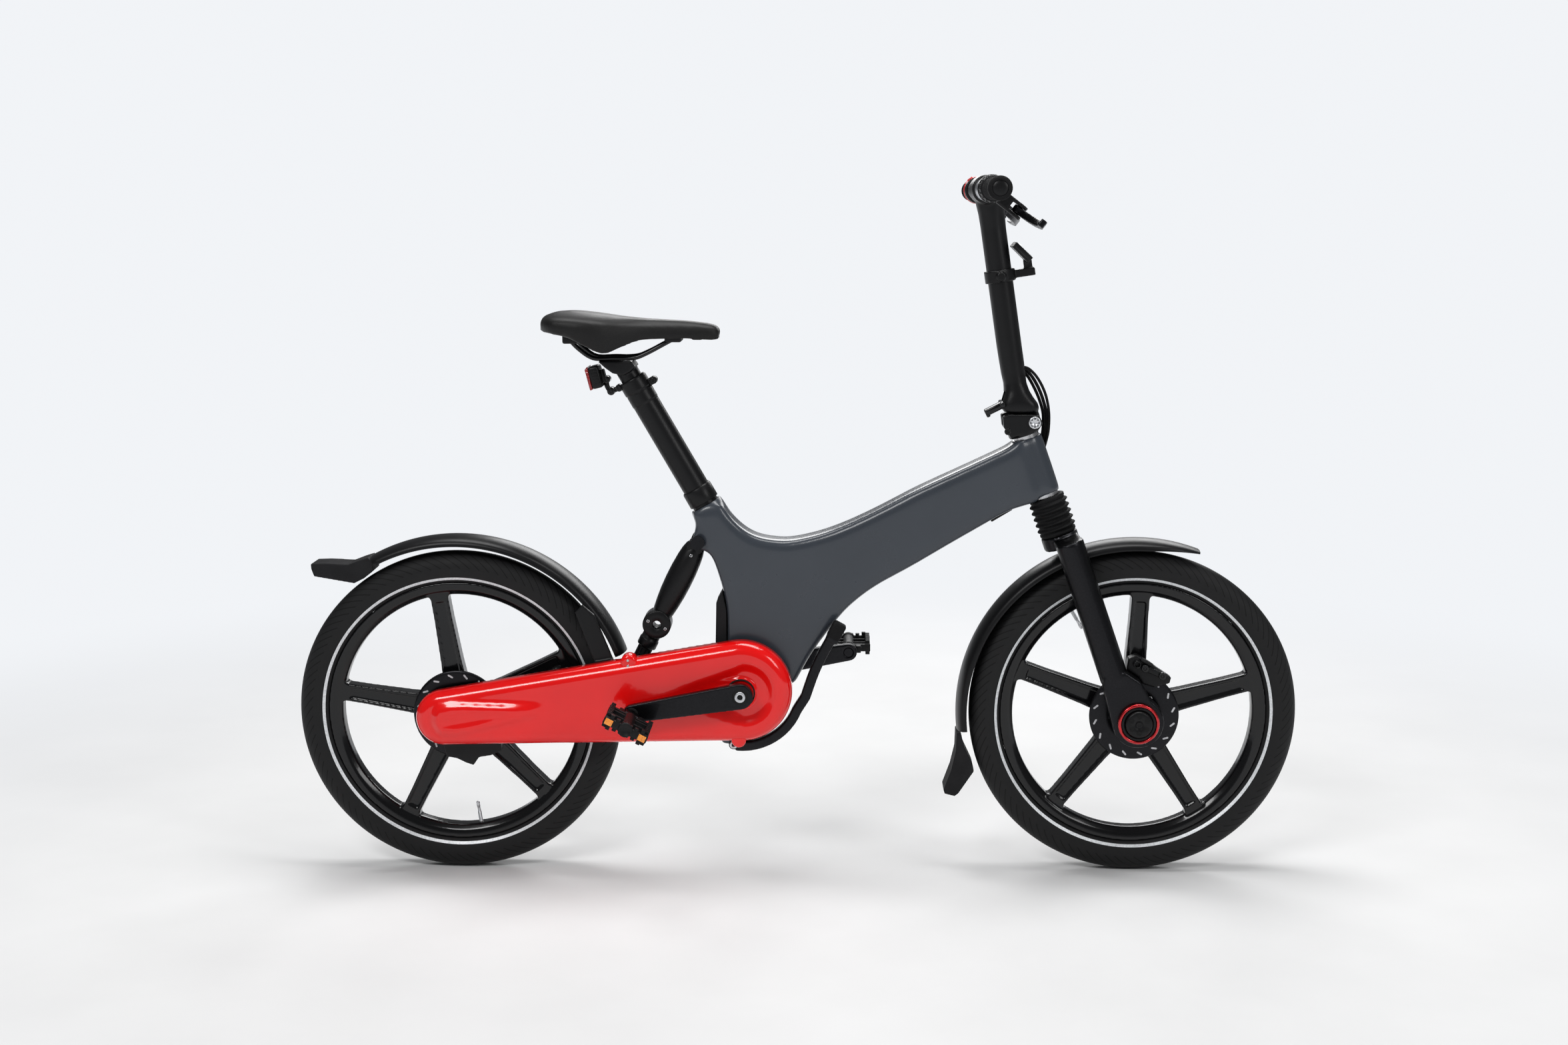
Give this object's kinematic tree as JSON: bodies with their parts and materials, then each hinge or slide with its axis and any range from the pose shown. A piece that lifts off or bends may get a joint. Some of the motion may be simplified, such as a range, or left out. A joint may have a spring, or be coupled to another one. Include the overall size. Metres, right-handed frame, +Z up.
{
  "type": "folding bicycle",
  "caption": "Small-wheeled folding bicycle with a single-sided fork, folding stem, enclosed chain drive, rear shock, fenders and folding pedals.",
  "frame": {"origin": "on the ground, midway between the axles on the centre line", "axes": "+X forward, +Y to the rider's left, +Z up"},
  "size_m": [1.5809, 0.612, 1.095],
  "materials": {
    "frame_paint": "gloss slate grey paint",
    "red_paint": "gloss red paint",
    "gloss_black": "gloss black",
    "satin_black": "satin black",
    "black_metal": "satin black anodised",
    "tyre_rubber": "black tyre rubber",
    "soft_rubber": "matt dark rubber",
    "bright_metal": "satin silver",
    "steel": "steel",
    "red_anodised": "red anodised",
    "clear_lens": "clear reflector lens",
    "red_lens": "red lens",
    "saddle_cover": "smooth black cover",
    "battery_case": "grey case"
  },
  "bodies": {
    "frame": {"frame": "frame_paint", "battery_pack": "battery_case", "cable_port_cover": "satin_black", "frame_bearings": "steel", "rear_cover": "satin_black", "seat_sleeve": "satin_black", "pivot_pins": "black_metal"},
    "kickstand": {"kickstand": "satin_black"},
    "steerer": {"steerer": "black_metal", "stem_hinge_pin": "bright_metal"},
    "stem": {"stem_mast": "black_metal", "reflector_bracket": "satin_black", "reflector_lens": "clear_lens", "handlebar": "bright_metal", "grips": "soft_rubber", "brake_perches": "satin_black", "cable_loop": "satin_black"},
    "latch_lever": {"latch_lever": "gloss_black"},
    "gear_shifter": {"gear_shifter": "satin_black"},
    "brake_lever_right": {"brake_lever_right": "satin_black"},
    "brake_lever_left": {"brake_lever_left": "satin_black"},
    "boost_button": {"boost_button": "red_anodised"},
    "fork": {"fork": "black_metal", "front_axle": "black_metal", "axle_ring": "red_anodised", "front_caliper": "black_metal", "front_fender": "gloss_black", "front_mudflap": "soft_rubber", "bellows": "soft_rubber"},
    "front_wheel": {"front_wheel": "gloss_black", "front_tyre": "tyre_rubber", "front_hub": "black_metal", "front_brake_disc": "black_metal"},
    "swingarm": {"chaincase": "red_paint", "chaincase_back": "black_metal", "chain": "steel", "rear_axle": "steel", "rear_caliper": "black_metal", "rear_fender": "gloss_black", "rear_mudflap": "soft_rubber"},
    "rear_wheel": {"rear_wheel": "gloss_black", "rear_tyre": "tyre_rubber", "rear_hub": "black_metal", "rear_brake_disc": "black_metal"},
    "rear_sprocket": {"rear_sprocket": "steel"},
    "crankset": {"crank_right": "black_metal", "crank_left": "black_metal", "chainring": "steel"},
    "pedal_spindle_right": {"pedal_spindle_right": "black_metal"},
    "pedal_spindle_left": {"pedal_spindle_left": "black_metal"},
    "pedal_right": {"pedal_right": "satin_black"},
    "pedal_left": {"pedal_left": "satin_black"},
    "seatpost_outer": {"seatpost_outer": "black_metal", "rear_light": "satin_black", "rear_light_lens": "red_lens"},
    "seatpost_inner": {"seatpost_inner": "black_metal", "saddle_base": "satin_black", "saddle_cushion": "saddle_cover"},
    "shock_body": {"shock_body": "black_metal"},
    "shock_rod": {"shock_rod": "soft_rubber"}
  },
  "joints": [
    {"name": "steering", "type": "hinge", "parent": "frame", "child": "steerer", "pos_m": [0.37636, 0, 0.6495], "axis": [-0.3256, 0, 0.9455], "range_deg": [-60, 60]},
    {"name": "stem_fold", "type": "hinge", "parent": "steerer", "child": "stem", "pos_m": [0.371, 0, 0.719], "axis": [0, 1, 0], "range_deg": [0, 105], "deforming": ["cable_loop"]},
    {"name": "latch_open", "type": "hinge", "parent": "stem", "child": "latch_lever", "pos_m": [0.322, 0, 0.746], "axis": [0, 1, 0], "range_deg": [0, 60]},
    {"name": "shifter_twist", "type": "hinge", "parent": "stem", "child": "gear_shifter", "pos_m": [0.292, -0.16, 1.073], "axis": [0, 1, 0], "range_deg": [-45, 45]},
    {"name": "brake_squeeze_right", "type": "hinge", "parent": "stem", "child": "brake_lever_right", "pos_m": [0.3314, -0.126, 1.04222], "axis": [-0.6157, 0, -0.788], "range_deg": [0, 14], "stiffness_Nm_per_rad": 2, "springref_deg": -5.73},
    {"name": "brake_squeeze_left", "type": "hinge", "parent": "stem", "child": "brake_lever_left", "pos_m": [0.3314, 0.126, 1.04222], "axis": [0.6157, 0, 0.788], "range_deg": [0, 14], "stiffness_Nm_per_rad": 2, "springref_deg": -5.73},
    {"name": "boost_press", "type": "slide", "parent": "stem", "child": "boost_button", "axis": [0.5736, 0, -0.8192], "range_m": [0, 0.002], "stiffness_N_per_m": 500, "springref_m": -0.001},
    {"name": "fork_travel", "type": "slide", "parent": "steerer", "child": "fork", "axis": [-0.3256, 0, 0.9455], "range_m": [0, 0.025], "stiffness_N_per_m": 20000, "springref_m": -0.008, "deforming": ["bellows"]},
    {"name": "front_wheel_spin", "type": "hinge", "parent": "fork", "child": "front_wheel", "pos_m": [0.5325, 0, 0.258], "axis": [0, 1, 0], "continuous": true},
    {"name": "swingarm_travel", "type": "hinge", "parent": "frame", "child": "swingarm", "pos_m": [-0.082, 0, 0.303], "axis": [0, 1, 0], "range_deg": [0, 3.2], "stiffness_Nm_per_rad": 2500, "springref_deg": -2.29},
    {"name": "rear_wheel_spin", "type": "hinge", "parent": "swingarm", "child": "rear_wheel", "pos_m": [-0.5325, 0, 0.258], "axis": [0, 1, 0], "continuous": true},
    {"name": "crank_spin", "type": "hinge", "parent": "frame", "child": "crankset", "pos_m": [-0.082, 0, 0.303], "axis": [0, 1, 0], "continuous": true},
    {"name": "sprocket_spin", "type": "hinge", "parent": "swingarm", "child": "rear_sprocket", "pos_m": [-0.5325, 0, 0.258], "axis": [0, 1, 0], "continuous": true},
    {"name": "pedal_spin_right", "type": "hinge", "parent": "crankset", "child": "pedal_spindle_right", "pos_m": [-0.24972, -0.101, 0.27524], "axis": [0, 1, 0], "continuous": true},
    {"name": "pedal_spin_left", "type": "hinge", "parent": "crankset", "child": "pedal_spindle_left", "pos_m": [0.08572, 0.101, 0.33076], "axis": [0, 1, 0], "continuous": true},
    {"name": "pedal_fold_right", "type": "hinge", "parent": "pedal_spindle_right", "child": "pedal_right", "pos_m": [-0.24972, -0.1155, 0.27524], "axis": [-0.891, 0, 0.454], "range_deg": [0, 90]},
    {"name": "pedal_fold_left", "type": "hinge", "parent": "pedal_spindle_left", "child": "pedal_left", "pos_m": [0.08572, 0.1155, 0.33076], "axis": [1, 0, 0], "range_deg": [0, 90]},
    {"name": "seatpost_drop", "type": "slide", "parent": "frame", "child": "seatpost_outer", "axis": [-0.497, 0, 0.8678], "range_m": [-0.09, 0]},
    {"name": "saddle_raise", "type": "slide", "parent": "seatpost_outer", "child": "seatpost_inner", "axis": [-0.497, 0, 0.8678], "range_m": [0, 0.1]},
    {"name": "kickstand_swing", "type": "hinge", "parent": "frame", "child": "kickstand", "pos_m": [-0.095, -0.041, 0.214], "axis": [0, 1, 0], "range_deg": [0, 100]},
    {"name": "shock_tilt", "type": "hinge", "parent": "frame", "child": "shock_body", "pos_m": [-0.1495, 0, 0.533], "axis": [0, 1, 0], "range_deg": [-1, 2]},
    {"name": "shock_stroke", "type": "slide", "parent": "shock_body", "child": "shock_rod", "axis": [0.4472, 0, 0.8944], "range_m": [0, 0.0105]}
  ],
  "couplings": [
    {"joint": "sprocket_spin", "follows": "crank_spin", "ratio": 2.2},
    {"joint": "shock_tilt", "follows": "swingarm_travel", "ratio": 0.219},
    {"joint": "shock_stroke", "follows": "swingarm_travel", "m_per_rad": 0.1632}
  ]
}
